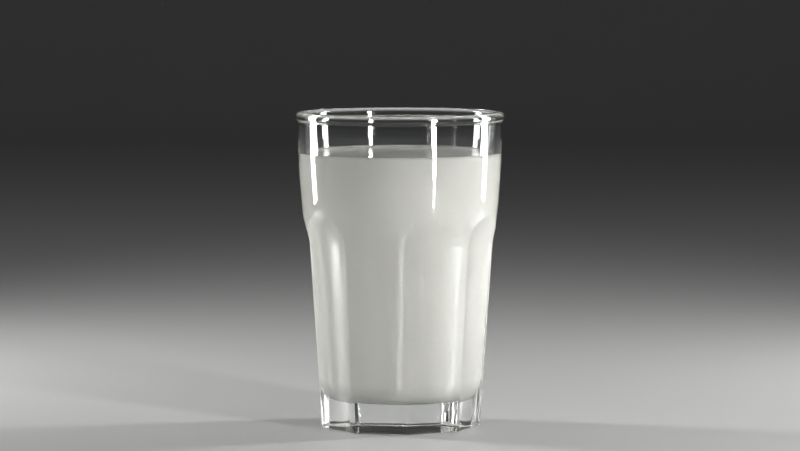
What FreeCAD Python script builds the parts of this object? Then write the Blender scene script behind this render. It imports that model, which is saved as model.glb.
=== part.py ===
import FreeCAD, Part

import math
import os

import Sketcher

# A tall pressed-glass tumbler, filled with milk to a little below its rim.
#
# It stands on the XY plane with +Z up, and its axis is the Z axis. A plain round band below the rim
# bead gives way to nine tall facets. Each facet follows the taper of the wall, is hollowed a little
# from side to side, and scoops outward at its top, so that it runs out in a rounded arch.
# Lengths are millimetres, and facet_turn is in degrees.

SIZES = (
    # the whole glass
    ("total_height", 140.0),
    ("bead_radius", 46.25),
    ("bead_height", 3.8),
    ("bead_overhang", 0.9),
    ("bead_round", 1.2),
    ("bead_root_round", 0.5),
    ("lip_width", 3.65),
    ("lip_round", 1.6),
    # the round band, from the bead down to where the ridges meet it
    ("band_height", 47.7),
    ("band_flare", 2.85),
    ("band_curve_radius", 420.0),
    # the facets and the ridges between them
    ("facet_count", 9),
    ("facet_turn", 15.3),
    ("flute_radius", 80.0),
    ("scoop_drop", 7.0),
    ("scoop_radius", 23.0),
    ("foot_ridge_radius", 36.0),
    ("ridge_step", 0.5),
    ("ridge_flat", 0.3),
    ("foot_round", 1.0),
    # the shallow dish of the underside
    ("dish_radius", 28.0),
    ("dish_depth", 1.2),
    # the inside
    ("floor_height", 12.6),
    ("floor_wall", 2.7),
    ("floor_round", 10.0),
    ("waist_drop", 5.0),
    ("waist_wall", 1.9),
    ("waist_reach", 8.0),
    ("waist_flare", 0.09),
    # the milk, with a hair of room to the glass
    ("milk_headspace", 19.3),
    ("milk_gap", 0.1),
    # how far a cutting tool reaches past what it cuts, and how many times wider than a facet its tool is
    ("tool_overrun", 5.0),
    ("tool_widening", 1.4),
)

doc = FreeCAD.newDocument("glass_of_milk")
sheet = doc.addObject("Spreadsheet::Sheet", "Sizes")
for row, (alias, value) in enumerate(SIZES, start=1):
    sheet.set("A%d" % row, alias.replace("_", " "))
    sheet.set("B%d" % row, str(value))
    sheet.setAlias("B%d" % row, alias)
doc.recompute()

# Sizes that follow from the driving ones, as formulas of the sheet.
BEAD_LOW = "(Sizes.total_height - Sizes.bead_height)"
BAND_LOW = "(%s - Sizes.band_height)" % BEAD_LOW
BAND_TOP_RADIUS = "(Sizes.bead_radius - Sizes.bead_overhang)"
BAND_LOW_RADIUS = "(%s - Sizes.band_flare)" % BAND_TOP_RADIUS
RIDGE_SLOPE = "((%s - Sizes.ridge_step - Sizes.foot_ridge_radius) / %s)" % (BAND_LOW_RADIUS, BAND_LOW)
# A facet's middle lies inside the chord between its two ridges by the hollow of its flute, and that
# hollow deepens as the chord widens with height.
CHORD_SHARE = "cos(180 / Sizes.facet_count)"
FLUTE_SHARE = "(Sizes.foot_ridge_radius * pow(sin(180 / Sizes.facet_count); 2) / Sizes.flute_radius)"
FACET_SLOPE = "(%s * (%s - %s))" % (RIDGE_SLOPE, CHORD_SHARE, FLUTE_SHARE)
FACET_ANGLE = "atan(%s)" % FACET_SLOPE
FOOT_FLAT = "(Sizes.foot_ridge_radius * (%s - %s / 2))" % (CHORD_SHARE, FLUTE_SHARE)
SCOOP_LOW = "(%s - Sizes.scoop_drop)" % BAND_LOW
HALF_CHORD = "(Sizes.bead_radius * sin(180 / Sizes.facet_count))"
FACET_SWEEP = "2 * Sizes.tool_widening * asin(%s / Sizes.flute_radius)" % HALF_CHORD
MOUTH_RADIUS = "(Sizes.bead_radius - Sizes.lip_width)"
FLOOR_RADIUS = "(%s - Sizes.floor_wall)" % FOOT_FLAT
WAIST_HEIGHT = "(%s - Sizes.waist_drop)" % BAND_LOW
WAIST_RADIUS = "(%s + %s * %s - Sizes.waist_wall)" % (FOOT_FLAT, FACET_SLOPE, WAIST_HEIGHT)
MILK_LEVEL = "(Sizes.total_height - Sizes.milk_headspace)"

# how near an edge lies to the corner that it is looked up by
SAME_PLACE = 0.001
# how far the facets' cuts may differ from equal shares of what they take together
SHARE_SLACK = 0.01


def worked_out(formula):
    """The present value of a formula of the sheet."""
    return float(sheet.evalExpression(formula.replace("Sizes.", "")))


class Outline:
    """A closed outline, drawn edge by edge on a body's XZ plane, with every size bound to the sheet."""

    def __init__(self, body, name, start):
        self.sketch = body.newObject("Sketcher::SketchObject", name)
        plane = next(item for item in body.Origin.OriginFeatures if item.Role == "XZ_Plane")
        self.sketch.AttachmentSupport = [(plane, "")]
        self.sketch.MapMode = "FlatFace"
        self.start = start
        self.here = start
        self.first_end = None
        self.last_end = None

    def bind(self, kind, formula, *where):
        """Add a measured constraint, and let the sheet drive it."""
        index = self.sketch.addConstraint(Sketcher.Constraint(kind, *where, worked_out(formula)))
        self.sketch.setExpression("Constraints[%d]" % index, formula)

    def pin(self, edge_end, point):
        """Hold an edge's end at a point, measured from the sketch's origin."""
        self.bind("DistanceX", point[0], -1, 1, *edge_end)
        self.bind("DistanceY", point[1], -1, 1, *edge_end)

    def add(self, geometry, near_end, far_end, point):
        """Chain one more edge on to the outline, from its near end to its far end at a point."""
        edge = self.sketch.addGeometry(geometry, False)
        if self.last_end is None:
            self.first_end = (edge, near_end)
            self.pin(self.first_end, self.start)
        else:
            self.sketch.addConstraint(Sketcher.Constraint("Coincident", *self.last_end, edge, near_end))
        self.last_end = (edge, far_end)
        self.here = point
        if point == self.start:
            self.sketch.addConstraint(Sketcher.Constraint("Coincident", *self.last_end, *self.first_end))
        else:
            self.pin(self.last_end, point)
        return edge

    def ends(self, point):
        near = FreeCAD.Vector(*[worked_out(part) for part in self.here], 0)
        far = FreeCAD.Vector(*[worked_out(part) for part in point], 0)
        return near, far

    def line(self, point):
        self.add(Part.LineSegment(*self.ends(point)), 1, 2, point)

    def arc(self, point, radius, turns_left):
        """An arc of a given radius, the shorter way round, that turns left or right on its way."""
        near, far = self.ends(point)
        half = (far - near) * 0.5
        reach = worked_out(radius)
        to_centre = math.sqrt(reach ** 2 - half.Length ** 2) / half.Length
        left = FreeCAD.Vector(-half.y, half.x, 0) * to_centre
        centre = near + half + (left if turns_left else left * -1)
        low, high = (near, far) if turns_left else (far, near)
        turns = [math.atan2(spot.y - centre.y, spot.x - centre.x) for spot in (low, high)]
        circle = Part.Circle(centre, FreeCAD.Vector(0, 0, 1), reach)
        near_end, far_end = (1, 2) if turns_left else (2, 1)
        edge = self.add(Part.ArcOfCircle(circle, *turns), near_end, far_end, point)
        self.bind("Radius", radius, edge)


def revolve(body, outline, kind, name, sweep="360"):
    """Turn an outline round its sketch's own upright axis, half of the sweep to each side of it.

    The kind is Revolution or Groove, and the sweep is in degrees.
    """
    feature = body.newObject("PartDesign::" + kind, name)
    feature.Profile = outline.sketch
    feature.ReferenceAxis = (outline.sketch, ["V_Axis"])
    feature.Midplane = True
    feature.setExpression("Angle", sweep)
    outline.sketch.Visibility = False
    doc.recompute()
    return feature


def round_corner(body, name, radius, corner):
    """Round the circular edge that lies at a corner of the section: (radius, height), as formulas."""
    base = body.Tip
    reach, height = [worked_out(part) for part in corner]
    found = []
    for index, edge in enumerate(base.Shape.Edges, start=1):
        box = edge.BoundBox
        level = abs(box.ZMin - height) < SAME_PLACE and abs(box.ZMax - height) < SAME_PLACE
        if level and abs(box.XMax - reach) < SAME_PLACE:
            found.append("Edge%d" % index)
    if not found:
        raise RuntimeError("no edge to round for " + name)
    feature = body.newObject("PartDesign::Fillet", name)
    feature.Base = (base, found)
    feature.setExpression("Radius", radius)
    doc.recompute()


def draw_inside(section, gap):
    """Draw the inside from its mouth down to the middle of its floor, a gap in from the glass.

    The wall is straight up to the waist, and above it flares and then bows out towards the mouth. The
    two arcs leave their neighbours in line, at slopes that are small enough to halve and to add.
    """
    low_slope = "((%s - %s) / (%s - Sizes.floor_height))" % (WAIST_RADIUS, FLOOR_RADIUS, WAIST_HEIGHT)
    mouth_rise = "(Sizes.total_height - %s)" % WAIST_HEIGHT
    flare_slope = "((%s - %s) / %s + Sizes.waist_flare)" % (MOUTH_RADIUS, WAIST_RADIUS, mouth_rise)
    below_waist = (
        "%s - %s * Sizes.waist_reach" % (WAIST_RADIUS, low_slope),
        "%s - Sizes.waist_reach" % WAIST_HEIGHT,
    )
    above_waist = (
        "%s + %s * Sizes.waist_reach" % (WAIST_RADIUS, flare_slope),
        "%s + Sizes.waist_reach" % WAIST_HEIGHT,
    )
    bow_rise = "(%s - Sizes.waist_reach)" % mouth_rise
    bow_radius = "(%s * %s / (2 * Sizes.waist_flare * %s))" % (bow_rise, bow_rise, mouth_rise)
    waist_radius = "abs(2 * Sizes.waist_reach / (%s - %s))" % (flare_slope, low_slope)
    flares = worked_out(flare_slope) > worked_out(low_slope)

    def inset(point):
        return (point[0] + " - " + gap, point[1])

    section.line(inset((MOUTH_RADIUS, "Sizes.total_height")))
    section.arc(inset(above_waist), bow_radius, turns_left=False)
    section.arc(inset(below_waist), waist_radius, turns_left=flares)
    section.line(inset((FLOOR_RADIUS, "Sizes.floor_height + " + gap)))
    section.line(("0", "Sizes.floor_height + " + gap))


def wall_section(body):
    """Half of the glass's section, before its corners are rounded and its facets are cut."""
    ridge_out = "(Sizes.ridge_step + Sizes.ridge_flat)"
    ridge_top = ("%s - %s - %s * Sizes.scoop_drop" % (BAND_LOW_RADIUS, ridge_out, RIDGE_SLOPE), SCOOP_LOW)
    flare_radius = "(pow(Sizes.scoop_drop; 2) + pow(%s; 2)) / (2 * %s)" % (ridge_out, ridge_out)
    dish_curve = "(pow(Sizes.dish_radius; 2) + pow(Sizes.dish_depth; 2)) / (2 * Sizes.dish_depth)"

    section = Outline(body, "WallSection", ("0", "Sizes.dish_depth"))
    section.arc(("Sizes.dish_radius", "0"), dish_curve, turns_left=False)
    section.line(("Sizes.foot_ridge_radius - Sizes.ridge_flat", "0"))
    section.line(ridge_top)
    section.arc((BAND_LOW_RADIUS, BAND_LOW), flare_radius, turns_left=False)
    section.arc((BAND_TOP_RADIUS, BEAD_LOW), "Sizes.band_curve_radius", turns_left=True)
    section.line(("Sizes.bead_radius", BEAD_LOW))
    section.line(("Sizes.bead_radius", "Sizes.total_height"))
    draw_inside(section, "0")
    section.line(section.start)
    return section


def facet_tool_section(body):
    """Section of the tool that hollows one facet, drawn from the tool's own upright axis."""
    axis_place = "(%s + Sizes.flute_radius)" % FOOT_FLAT
    foot = "(-Sizes.flute_radius)"
    low = "(-Sizes.tool_overrun)"
    scoop_out = "(%s + %s * %s)" % (foot, FACET_SLOPE, SCOOP_LOW)
    # the scoop ends square to the wall, well outside the band
    tip_out = "(%s + Sizes.scoop_radius * cos(%s))" % (scoop_out, FACET_ANGLE)
    tip_height = "(%s + Sizes.scoop_radius * (1 - sin(%s)))" % (SCOOP_LOW, FACET_ANGLE)

    section = Outline(body, "FacetToolSection", ("0", low))
    section.sketch.setExpression("AttachmentOffset.Base.x", axis_place)
    section.line(("%s - Sizes.foot_round" % foot, low))
    section.line(("%s - Sizes.foot_round" % foot, "0"))
    section.arc((foot, "Sizes.foot_round"), "Sizes.foot_round", turns_left=True)
    section.line((scoop_out, SCOOP_LOW))
    section.arc((tip_out, tip_height), "Sizes.scoop_radius", turns_left=False)
    section.line(("0", tip_height))
    section.line(section.start)
    return section


def build_tumbler():
    body = doc.addObject("PartDesign::Body", "Tumbler")
    body.Label = "tumbler"
    revolve(body, wall_section(body), "Revolution", "Wall")
    round_corner(body, "FootRound", "Sizes.foot_round", ("Sizes.foot_ridge_radius - Sizes.ridge_flat", "0"))
    round_corner(body, "BeadRoot", "Sizes.bead_root_round", (BAND_TOP_RADIUS, BEAD_LOW))
    round_corner(body, "BeadRound", "Sizes.bead_round", ("Sizes.bead_radius", BEAD_LOW))
    round_corner(body, "LipOuter", "Sizes.lip_round", ("Sizes.bead_radius", "Sizes.total_height"))
    round_corner(body, "LipInner", "Sizes.lip_round", (MOUTH_RADIUS, "Sizes.total_height"))
    round_corner(body, "FloorCorner", "Sizes.floor_round", (FLOOR_RADIUS, "Sizes.floor_height"))

    before = body.Tip.Shape.Volume
    facet = revolve(body, facet_tool_section(body), "Groove", "Facet", FACET_SWEEP)
    one_facet = before - facet.Shape.Volume
    ring = body.newObject("PartDesign::PolarPattern", "Facets")
    ring.Originals = [facet]
    ring.Axis = (next(item for item in body.Origin.OriginFeatures if item.Role == "Z_Axis"), [""])
    ring.Angle = 360
    ring.setExpression("Occurrences", "Sizes.facet_count")
    body.Tip = ring
    doc.recompute()
    removed = before - ring.Shape.Volume
    print("one facet takes", round(one_facet, 1), "and all take", round(removed, 1))
    if one_facet <= 0 or abs(removed / one_facet / sheet.facet_count - 1) > SHARE_SLACK:
        raise RuntimeError("the facets don't all cut the wall")
    return body


def build_milk():
    """The milk fills the inside up to its level, a hair clear of the glass."""
    body = doc.addObject("PartDesign::Body", "Milk")
    body.Label = "milk"
    section = Outline(body, "InsideSection", ("0", "Sizes.total_height"))
    draw_inside(section, "Sizes.milk_gap")
    section.line(section.start)
    revolve(body, section, "Revolution", "Inside")
    corner = (FLOOR_RADIUS + " - Sizes.milk_gap", "Sizes.floor_height + Sizes.milk_gap")
    round_corner(body, "MilkFloorCorner", "Sizes.floor_round", corner)

    full = body.Tip.Shape.Volume
    over = "Sizes.total_height + Sizes.tool_overrun"
    headspace = Outline(body, "HeadspaceSection", ("0", MILK_LEVEL))
    headspace.line(("Sizes.bead_radius", MILK_LEVEL))
    headspace.line(("Sizes.bead_radius", over))
    headspace.line(("0", over))
    headspace.line(headspace.start)
    cut = revolve(body, headspace, "Groove", "Headspace")
    if cut.Shape.Volume >= full:
        raise RuntimeError("the headspace isn't cut")
    return body


pieces = [build_tumbler(), build_milk()]
for piece in pieces:
    piece.setExpression("Placement.Rotation.Angle", "Sizes.facet_turn")
doc.recompute()

for item in doc.Objects:
    if any(word in ("Invalid", "Error") for word in item.State):
        raise RuntimeError("%s failed: %s" % (item.Name, item.State))
os.makedirs("parts", exist_ok=True)
for piece in pieces:
    shape = piece.Shape
    if shape.isNull() or not shape.isValid() or len(shape.Solids) != 1:
        raise RuntimeError("%s is not one sound solid" % piece.Label)
    shape.exportStep("parts/%s.step" % piece.Label)
    print(piece.Label, "volume", round(shape.Volume), "box", shape.BoundBox)
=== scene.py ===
import math

import bmesh
import bpy
import numpy as np
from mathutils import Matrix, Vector


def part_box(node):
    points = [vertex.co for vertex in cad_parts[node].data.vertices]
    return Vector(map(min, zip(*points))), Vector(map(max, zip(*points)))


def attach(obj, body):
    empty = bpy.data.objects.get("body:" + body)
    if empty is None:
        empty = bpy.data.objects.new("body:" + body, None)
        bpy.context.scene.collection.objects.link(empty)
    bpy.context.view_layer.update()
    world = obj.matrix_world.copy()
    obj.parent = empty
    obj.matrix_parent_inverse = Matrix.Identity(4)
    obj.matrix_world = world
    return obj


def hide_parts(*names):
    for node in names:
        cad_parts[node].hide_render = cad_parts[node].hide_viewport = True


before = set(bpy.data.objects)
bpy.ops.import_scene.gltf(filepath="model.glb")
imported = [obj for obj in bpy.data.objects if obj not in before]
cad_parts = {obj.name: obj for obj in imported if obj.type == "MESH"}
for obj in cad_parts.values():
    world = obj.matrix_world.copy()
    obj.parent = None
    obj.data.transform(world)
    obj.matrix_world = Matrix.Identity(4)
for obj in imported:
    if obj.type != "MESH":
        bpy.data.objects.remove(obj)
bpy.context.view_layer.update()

# A tall pressed-glass tumbler of milk. The glass and the milk are drawn again as fine, softly rounded
# meshes round the same axis, with the same facets, bead and foot as the solids that they stand for.
# Lengths are metres, and MM turns millimetres into them.

MM = 0.001

# ---- sizes that the frame gives ----
GLASS_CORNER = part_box("tumbler")[1]
HEIGHT = GLASS_CORNER.z
BEAD_RADIUS = GLASS_CORNER.x
MILK_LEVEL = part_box("milk")[1].z

# ---- the outside of the glass ----
BEAD_HEIGHT = 3.8 * MM
BEAD_OVERHANG = 0.9 * MM
BEAD_ROUND = 1.2 * MM
BEAD_ROOT_ROUND = 0.5 * MM
LIP_WIDTH = 3.65 * MM
LIP_ROUND = 1.6 * MM
BAND_HEIGHT = 47.7 * MM
BAND_FLARE = 2.85 * MM
BAND_CURVE_RADIUS = 420 * MM
FACET_COUNT = 9
FACET_TURN = math.radians(15.3)
FLUTE_RADIUS = 80 * MM
SCOOP_DROP = 7 * MM
SCOOP_RADIUS = 23 * MM
FOOT_RIDGE_RADIUS = 36 * MM
RIDGE_STEP = 0.5 * MM
RIDGE_FLAT = 0.3 * MM
FOOT_ROUND = 1 * MM
DISH_RADIUS = 28 * MM
DISH_DEPTH = 1.2 * MM
# how far the fire polish has softened the ridges and the arches
EDGE_SOFTNESS = 0.3 * MM

# ---- the inside of the glass ----
FLOOR_WALL = 2.7 * MM
FLOOR_ROUND = 10 * MM
FLOOR_HEIGHT = 12.6 * MM
WAIST_DROP = 5 * MM
WAIST_WALL = 1.9 * MM
WAIST_REACH = 8 * MM
WAIST_FLARE = 0.09

# ---- the milk ----
# the milk's mesh reaches this far into the wall, so that no film of air shows between them
WETTING = 0.12 * MM
MENISCUS_RISE = 1.3 * MM
MENISCUS_REACH = 1.4 * MM

# ---- how finely the meshes are cut ----
COLUMNS_PER_FACET = 40
# the columns crowd together towards the ridges by this share
RIDGE_CROWDING = 0.65
MILK_COLUMNS = 240
# rings up the facets and under the foot, round the arches, and up the band and the inside
FACET_SPACING = 2.5 * MM
ARCH_SPACING = 0.35 * MM
WALL_SPACING = 1.5 * MM
# the fine rings start this far under the scoops, and go on up by this share of the scoops' radius
ARCH_RUN_UP = 3 * MM
ARCH_SHARE = 0.85
# rings across the flat floor, as shares of its radius
FLOOR_SHARES = (0.8, 0.55, 0.3, 0.1)

# ---- sizes that follow ----
BEAD_LOW = HEIGHT - BEAD_HEIGHT
BAND_LOW = BEAD_LOW - BAND_HEIGHT
BAND_TOP_RADIUS = BEAD_RADIUS - BEAD_OVERHANG
BAND_LOW_RADIUS = BAND_TOP_RADIUS - BAND_FLARE
HALF_FACET = math.pi / FACET_COUNT
RIDGE_SLOPE = (BAND_LOW_RADIUS - RIDGE_STEP - FOOT_RIDGE_RADIUS) / BAND_LOW
FLUTE_SHARE = FOOT_RIDGE_RADIUS * math.sin(HALF_FACET) ** 2 / FLUTE_RADIUS
FACET_SLOPE = RIDGE_SLOPE * (math.cos(HALF_FACET) - FLUTE_SHARE)
FOOT_FLAT = FOOT_RIDGE_RADIUS * (math.cos(HALF_FACET) - FLUTE_SHARE / 2)
TOOL_PLACE = FOOT_FLAT + FLUTE_RADIUS
SCOOP_LOW = BAND_LOW - SCOOP_DROP
MOUTH_RADIUS = BEAD_RADIUS - LIP_WIDTH
FLOOR_RADIUS = FOOT_FLAT - FLOOR_WALL
WAIST_HEIGHT = BAND_LOW - WAIST_DROP
WAIST_RADIUS = FOOT_FLAT + FACET_SLOPE * WAIST_HEIGHT - WAIST_WALL


def soft_least(first, second, softness):
    """The smaller of two radii, with a rounded edge where they meet."""
    share = np.clip(0.5 + 0.5 * (second - first) / softness, 0, 1)
    return second * (1 - share) + first * share - softness * share * (1 - share)


def facet_middle(height):
    """How far a facet's middle lies from the axis: straight up to the scoop, then an arc outward."""
    lean = math.atan(FACET_SLOPE)
    centre_out = FOOT_FLAT + FACET_SLOPE * SCOOP_LOW + SCOOP_RADIUS * math.cos(lean)
    centre_height = SCOOP_LOW - SCOOP_RADIUS * math.sin(lean)
    if height <= SCOOP_LOW:
        return FOOT_FLAT + FACET_SLOPE * height
    rise = min(height - centre_height, SCOOP_RADIUS)
    return centre_out - math.sqrt(SCOOP_RADIUS ** 2 - rise ** 2)


def flute(turn, height):
    """The radius at which a hollow flute is met, at a turn from its middle."""
    tool = TOOL_PLACE - facet_middle(height)
    reach = tool ** 2 - (TOOL_PLACE * np.sin(turn)) ** 2
    return TOOL_PLACE * np.cos(turn) - np.sqrt(np.maximum(reach, 0))


def band_or_ridge(height):
    """The plain round outside: the ridges' cone, a short flare, and the bowed band above it."""
    cone = FOOT_RIDGE_RADIUS - RIDGE_FLAT + RIDGE_SLOPE * height
    if height <= SCOOP_LOW:
        return cone
    if height <= BAND_LOW:
        return cone + (RIDGE_STEP + RIDGE_FLAT) * ((height - SCOOP_LOW) / SCOOP_DROP) ** 2
    rise = BEAD_LOW - BAND_LOW
    share = (height - BAND_LOW) / rise
    bow = rise ** 2 / (2 * BAND_CURVE_RADIUS) * share * (1 - share)
    return BAND_LOW_RADIUS + BAND_FLARE * share + bow


def outside(turns, height):
    """The outer radius all the way round at a height. A turn is measured from the nearest facet's middle."""
    inset = 0
    if height < FOOT_ROUND:
        inset = FOOT_ROUND - math.sqrt(FOOT_ROUND ** 2 - (FOOT_ROUND - height) ** 2)
    here = flute(turns, height)
    beside = flute(2 * HALF_FACET - np.abs(turns), height)
    ridged = soft_least(here, beside, EDGE_SOFTNESS)
    return soft_least(ridged, band_or_ridge(height), EDGE_SOFTNESS) - inset


def inside(height):
    """The inner radius: a straight wall up to the waist, a soft bend, then a wall that bows out."""
    low_slope = (WAIST_RADIUS - FLOOR_RADIUS) / (WAIST_HEIGHT - FLOOR_HEIGHT)
    flare = (MOUTH_RADIUS - WAIST_RADIUS) / (HEIGHT - WAIST_HEIGHT) + WAIST_FLARE
    past = height - (WAIST_HEIGHT - WAIST_REACH)
    if past <= 0:
        return WAIST_RADIUS - low_slope * (WAIST_HEIGHT - height)
    bend = min(past, 2 * WAIST_REACH)
    radius = WAIST_RADIUS + low_slope * (bend - WAIST_REACH)
    radius += (flare - low_slope) * bend ** 2 / (4 * WAIST_REACH)
    above = past - bend
    rise = HEIGHT - WAIST_HEIGHT - WAIST_REACH
    return radius + flare * above - WAIST_FLARE * (HEIGHT - WAIST_HEIGHT) * (above / rise) ** 2


def steps(start, end, spacing):
    """Even steps from start to end, both included, about a spacing apart."""
    return np.linspace(start, end, max(2, round(abs(end - start) / spacing) + 1))


def corner(centre_out, centre_height, radius, start, end, count):
    """Points along a rounded corner of a section, from one angle to another, in degrees."""
    for angle in np.radians(np.linspace(start, end, count)):
        yield centre_out + radius * math.cos(angle), centre_height + radius * math.sin(angle)


def facet_columns():
    """The angles of the columns round the glass, and their turns from the nearest facet's middle."""
    share = (np.arange(COLUMNS_PER_FACET) + 0.5) / COLUMNS_PER_FACET * 2 - 1
    crowded = (1 - RIDGE_CROWDING) * share + RIDGE_CROWDING * np.sin(share * math.pi / 2)
    turns = crowded * HALF_FACET
    angles = [FACET_TURN + 2 * HALF_FACET * facet + turns for facet in range(FACET_COUNT)]
    return np.concatenate(angles), np.tile(turns, FACET_COUNT)


def turned_mesh(name, rings, angles):
    """A closed mesh of rings about the axis, whose ends close on the axis.

    A ring is its radius, or its radii one by one, and its height.
    """
    across, around = len(rings), len(angles)
    points = np.zeros((across, around, 3))
    for index, (radius, height) in enumerate(rings):
        points[index, :, 0] = radius * np.cos(angles)
        points[index, :, 1] = radius * np.sin(angles)
        points[index, :, 2] = height
    vertices = points.reshape(-1, 3).tolist()
    ends = len(vertices), len(vertices) + 1
    vertices += [(0, 0, rings[0][1]), (0, 0, rings[-1][1])]
    grid = np.arange(across * around).reshape(across, around)
    ahead = np.roll(grid, -1, axis=1)
    quads = np.stack([grid[:-1], ahead[:-1], ahead[1:], grid[1:]], axis=-1).reshape(-1, 4).tolist()
    first = [(ends[0], int(b), int(a)) for a, b in zip(grid[0], ahead[0])]
    last = [(ends[1], int(a), int(b)) for a, b in zip(grid[-1], ahead[-1])]
    mesh = bpy.data.meshes.new(name)
    mesh.from_pydata(vertices, [], quads + first + last)
    work = bmesh.new()
    work.from_mesh(mesh)
    bmesh.ops.recalc_face_normals(work, faces=work.faces)
    work.to_mesh(mesh)
    work.free()
    mesh.shade_smooth()
    piece = bpy.data.objects.new(name, mesh)
    bpy.context.scene.collection.objects.link(piece)
    return piece


def glass_rings():
    """The section of the glass, from the middle of its underside up the outside and down the inside."""
    _, turns = facet_columns()
    for radius in steps(3 * MM, DISH_RADIUS, FACET_SPACING):
        yield radius, DISH_DEPTH * (1 - (radius / DISH_RADIUS) ** 2)
    foot_edge = outside(turns, 0)
    for share in (0.35, 0.75):
        yield DISH_RADIUS + (foot_edge - DISH_RADIUS) * share, 0
    for share in np.linspace(0, 1, 7):
        height = FOOT_ROUND * (1 - math.cos(share * math.pi / 2))
        yield outside(turns, height), height
    arch_low = SCOOP_LOW - ARCH_RUN_UP
    arch_high = SCOOP_LOW + ARCH_SHARE * SCOOP_RADIUS
    root = BEAD_LOW - BEAD_ROOT_ROUND
    for height in [*steps(FOOT_ROUND, arch_low, FACET_SPACING)[1:],
                   *steps(arch_low, arch_high, ARCH_SPACING)[1:],
                   *steps(arch_high, root, WALL_SPACING)[1:]]:
        yield outside(turns, height), height
    yield from corner(BAND_TOP_RADIUS + BEAD_ROOT_ROUND, root, BEAD_ROOT_ROUND, 165, 95, 4)
    yield from corner(BEAD_RADIUS - BEAD_ROUND, BEAD_LOW + BEAD_ROUND, BEAD_ROUND, -75, 0, 8)
    yield from corner(BEAD_RADIUS - LIP_ROUND, HEIGHT - LIP_ROUND, LIP_ROUND, 0, 90, 10)
    yield from corner(MOUTH_RADIUS + LIP_ROUND, HEIGHT - LIP_ROUND, LIP_ROUND, 90, 180, 10)
    corner_high = FLOOR_HEIGHT + FLOOR_ROUND
    for height in steps(HEIGHT - LIP_ROUND, corner_high, WALL_SPACING)[1:]:
        yield inside(height), height
    centre_out = inside(corner_high) - FLOOR_ROUND
    yield from list(corner(centre_out, corner_high, FLOOR_ROUND, 0, -90, 16))[1:]
    for share in FLOOR_SHARES:
        yield centre_out * share, FLOOR_HEIGHT


def milk_rings():
    """The section of the milk: its level top, curling up at the wall, and the sides that wet the glass."""
    wall = inside(MILK_LEVEL + MENISCUS_RISE) + WETTING
    for radius in [*steps(2 * MM, wall - 6 * MM, 3 * MM), *steps(wall - 5.6 * MM, wall, 0.3 * MM)]:
        yield radius, MILK_LEVEL + MENISCUS_RISE * math.exp((radius - wall) / MENISCUS_REACH)
    corner_high = FLOOR_HEIGHT + FLOOR_ROUND
    for height in steps(MILK_LEVEL + MENISCUS_RISE, corner_high, WALL_SPACING)[1:]:
        yield inside(height) + WETTING, height
    centre_out = inside(corner_high) - FLOOR_ROUND
    yield from list(corner(centre_out, corner_high, FLOOR_ROUND + WETTING, 0, -90, 16))[1:]
    for share in FLOOR_SHARES:
        yield centre_out * share, FLOOR_HEIGHT - WETTING


# ---- materials ----

# the sockets of a colour mix: its factor, its two colours, and its result
MIX_FACTOR, MIX_FIRST, MIX_SECOND, MIX_RESULT = 0, 6, 7, 2


def linear(hex_colour):
    """An sRGB hex colour as linear red, green, blue and a full alpha."""
    values = [int(hex_colour[place:place + 2], 16) / 255 for place in (1, 3, 5)]
    return tuple(v / 12.92 if v <= 0.04045 else ((v + 0.055) / 1.055) ** 2.4 for v in values) + (1,)


def add(tree, kind, links=None, **settings):
    """Add a node with its settings. A setting or a link named like an input goes to that input."""
    node = tree.nodes.new(kind)
    for key, value in settings.items():
        setattr(node, key, value)
    for key, value in (links or {}).items():
        if isinstance(value, bpy.types.NodeSocket):
            tree.links.new(value, node.inputs[key])
        else:
            node.inputs[key].default_value = value
    return node


def new_material(name):
    material = bpy.data.materials.new(name)
    material.use_nodes = True
    material.node_tree.nodes.clear()
    return material, material.node_tree


def pressed_glass():
    """Clear soda-lime glass, pressed in a mould and fire polished.

    The eye sees clean edges and a hard gloss, with the faint waviness that the mould leaves in it.
    """
    material, tree = new_material("pressed_soda_lime_glass")
    place = add(tree, "ShaderNodeTexCoord").outputs["Object"]
    # the mould's waviness repeats about every 14 mm, and is a few hundredths of a millimetre deep
    waves = add(tree, "ShaderNodeTexNoise", {"Vector": place, "Scale": 1 / (14 * MM), "Detail": 1.0})
    wavy = add(tree, "ShaderNodeBump", {
        "Height": waves.outputs["Fac"], "Distance": 0.04 * MM, "Strength": 1.0})
    glass = add(tree, "ShaderNodeBsdfPrincipled", {
        "Base Color": linear("#FBFDFC"), "Roughness": 0.0, "IOR": 1.52, "Transmission Weight": 1.0,
        "Normal": wavy.outputs["Normal"]})
    add(tree, "ShaderNodeOutputMaterial", {"Surface": glass.outputs[0]})
    return material


def whole_milk(name, gloss):
    """Whole milk.

    The eye sees an opaque white liquid with a faint warm cast, as smooth as water where it is free.
    """
    material, tree = new_material(name)
    place = add(tree, "ShaderNodeTexCoord").outputs["Object"]
    # the cream is uneven by a hair, in soft clouds about 18 mm across
    clouds = add(tree, "ShaderNodeTexNoise", {"Vector": place, "Scale": 1 / (18 * MM), "Detail": 2.0})
    tint = add(tree, "ShaderNodeMix", {
        MIX_FACTOR: clouds.outputs["Fac"], MIX_FIRST: linear("#F1F0EA"), MIX_SECOND: linear("#F6F4EE")},
        data_type="RGBA")
    milk = add(tree, "ShaderNodeBsdfPrincipled", {
        "Base Color": tint.outputs[MIX_RESULT], "Roughness": 0.12, "IOR": 1.35, "Specular IOR Level": gloss})
    add(tree, "ShaderNodeOutputMaterial", {"Surface": milk.outputs[0]})
    return material


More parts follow.
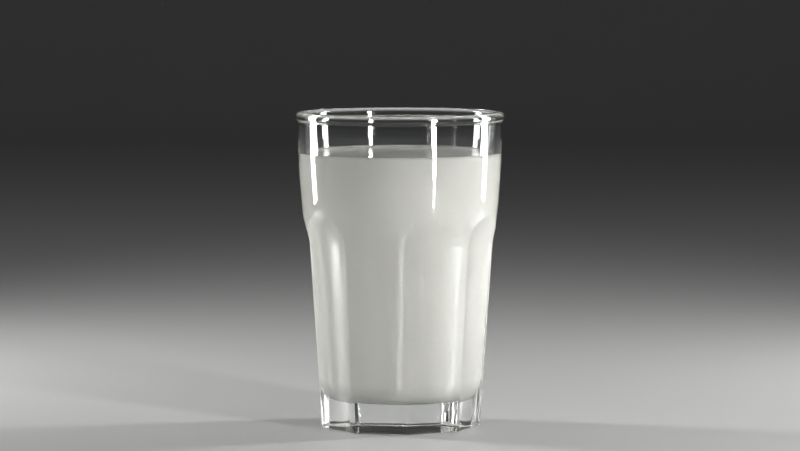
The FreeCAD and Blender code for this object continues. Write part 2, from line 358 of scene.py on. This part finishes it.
def painted_floor():
    """A matt pale studio board.

    The eye sees an even light grey, with a grain too fine to tell apart.
    """
    material, tree = new_material("matt_studio_board")
    place = add(tree, "ShaderNodeTexCoord").outputs["Object"]
    grain = add(tree, "ShaderNodeTexNoise", {"Vector": place, "Scale": 1 / (2 * MM), "Detail": 2.0})
    tint = add(tree, "ShaderNodeMix", {
        MIX_FACTOR: grain.outputs["Fac"], MIX_FIRST: linear("#BFBFBE"), MIX_SECOND: linear("#C3C3C2")},
        data_type="RGBA")
    board = add(tree, "ShaderNodeBsdfPrincipled", {"Base Color": tint.outputs[MIX_RESULT], "Roughness": 0.55})
    add(tree, "ShaderNodeOutputMaterial", {"Surface": board.outputs[0]})
    return material


# ---- pieces ----


def build_glass():
    angles, _ = facet_columns()
    piece = turned_mesh("tumbler_glass", list(glass_rings()), angles)
    piece.data.materials.append(pressed_glass())
    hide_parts("tumbler")
    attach(piece, "root")


def build_milk():
    angles = np.arange(MILK_COLUMNS) / MILK_COLUMNS * 2 * math.pi
    piece = turned_mesh("milk_fill", list(milk_rings()), angles)
    piece.data.materials.append(whole_milk("milk_free_surface", 0.5))
    piece.data.materials.append(whole_milk("milk_against_glass", 0.05))
    for face in piece.data.polygons:
        face.material_index = 0 if face.center.z > MILK_LEVEL - WETTING and face.normal.z > 0.1 else 1
    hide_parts("milk")
    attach(piece, "root")


# ---- the studio ----

CAMERA_PLACE = (0, -1.73, 0.218)
CAMERA_PITCH = math.radians(4.25)
CAMERA_LENS = 175.5
SENSOR_WIDTH = 36
FLOOR_SIZE = 8.0
# behind the glass the board sweeps up into a wall, so that no horizon cuts across the rim
SWEEP_START = 2.4
SWEEP_RADIUS = 1.2
SWEEP_RINGS = 24
WALL_HEIGHT = 3.5
WORLD_STRENGTH = 0.12


def build_camera():
    camera = bpy.data.cameras.new("camera")
    camera.lens = CAMERA_LENS
    camera.sensor_width = SENSOR_WIDTH
    holder = bpy.data.objects.new("camera", camera)
    holder.location = CAMERA_PLACE
    holder.rotation_euler = (math.pi / 2 - CAMERA_PITCH, 0, 0)
    bpy.context.scene.collection.objects.link(holder)
    bpy.context.scene.camera = holder


def softbox(name, azimuth, distance, height, aim_height, width, length, power):
    """A soft light at an azimuth from the camera's side, in degrees, turned to face the glass's axis."""
    light = bpy.data.lights.new(name, "AREA")
    light.shape = "RECTANGLE"
    light.size, light.size_y = width, length
    light.energy = power
    holder = bpy.data.objects.new(name, light)
    turn = math.radians(azimuth)
    holder.location = (distance * math.sin(turn), -distance * math.cos(turn), height)
    aim = Vector((0, 0, aim_height))
    holder.rotation_euler = (aim - holder.location).to_track_quat("-Z", "Y").to_euler()
    bpy.context.scene.collection.objects.link(holder)


def build_studio():
    half = FLOOR_SIZE / 2
    section = [(-half, 0)]
    section += corner(SWEEP_START, SWEEP_RADIUS, SWEEP_RADIUS, -90, 0, SWEEP_RINGS)
    section += [(SWEEP_START + SWEEP_RADIUS, WALL_HEIGHT)]
    points = [(side, depth, height) for depth, height in section for side in (-half, half)]
    faces = [(low, low + 1, low + 3, low + 2) for low in range(0, len(points) - 2, 2)]
    mesh = bpy.data.meshes.new("floor")
    mesh.from_pydata(points, [], faces)
    mesh.materials.append(painted_floor())
    mesh.shade_smooth()
    floor = bpy.data.objects.new("floor", mesh)
    bpy.context.scene.collection.objects.link(floor)

    world = bpy.data.worlds.new("studio")
    world.use_nodes = True
    world.node_tree.nodes["Background"].inputs["Color"].default_value = linear("#8A8B8D")
    world.node_tree.nodes["Background"].inputs["Strength"].default_value = WORLD_STRENGTH
    bpy.context.scene.world = world

    # the strips stand upright on the board, close by, so that the bowed band mirrors them down to the arches
    softbox("left_strip", azimuth=-114, distance=0.60, height=0.23, aim_height=0.23,
            width=0.085, length=0.44, power=4.2)
    softbox("right_strip", azimuth=110, distance=0.60, height=0.23, aim_height=0.23,
            width=0.085, length=0.44, power=3.8)
    softbox("front_strip", azimuth=38, distance=0.42, height=0.17, aim_height=0.17,
            width=0.018, length=0.32, power=0.35)
    # this one lights the milk from the front, and draws the ridges on it
    softbox("front_key", azimuth=38, distance=0.60, height=0.16, aim_height=0.09,
            width=0.045, length=0.30, power=2.3)
    softbox("overhead", azimuth=180, distance=0.10, height=1.50, aim_height=0.08,
            width=1.20, length=1.20, power=3.5)


build_camera()
build_glass()
build_milk()
build_studio()

scene = bpy.context.scene
scene.view_settings.view_transform = "Standard"
scene.cycles.max_bounces = 24
scene.cycles.transmission_bounces = 24
scene.cycles.glossy_bounces = 10
scene.cycles.transparent_max_bounces = 16
scene.cycles.sample_clamp_indirect = 0
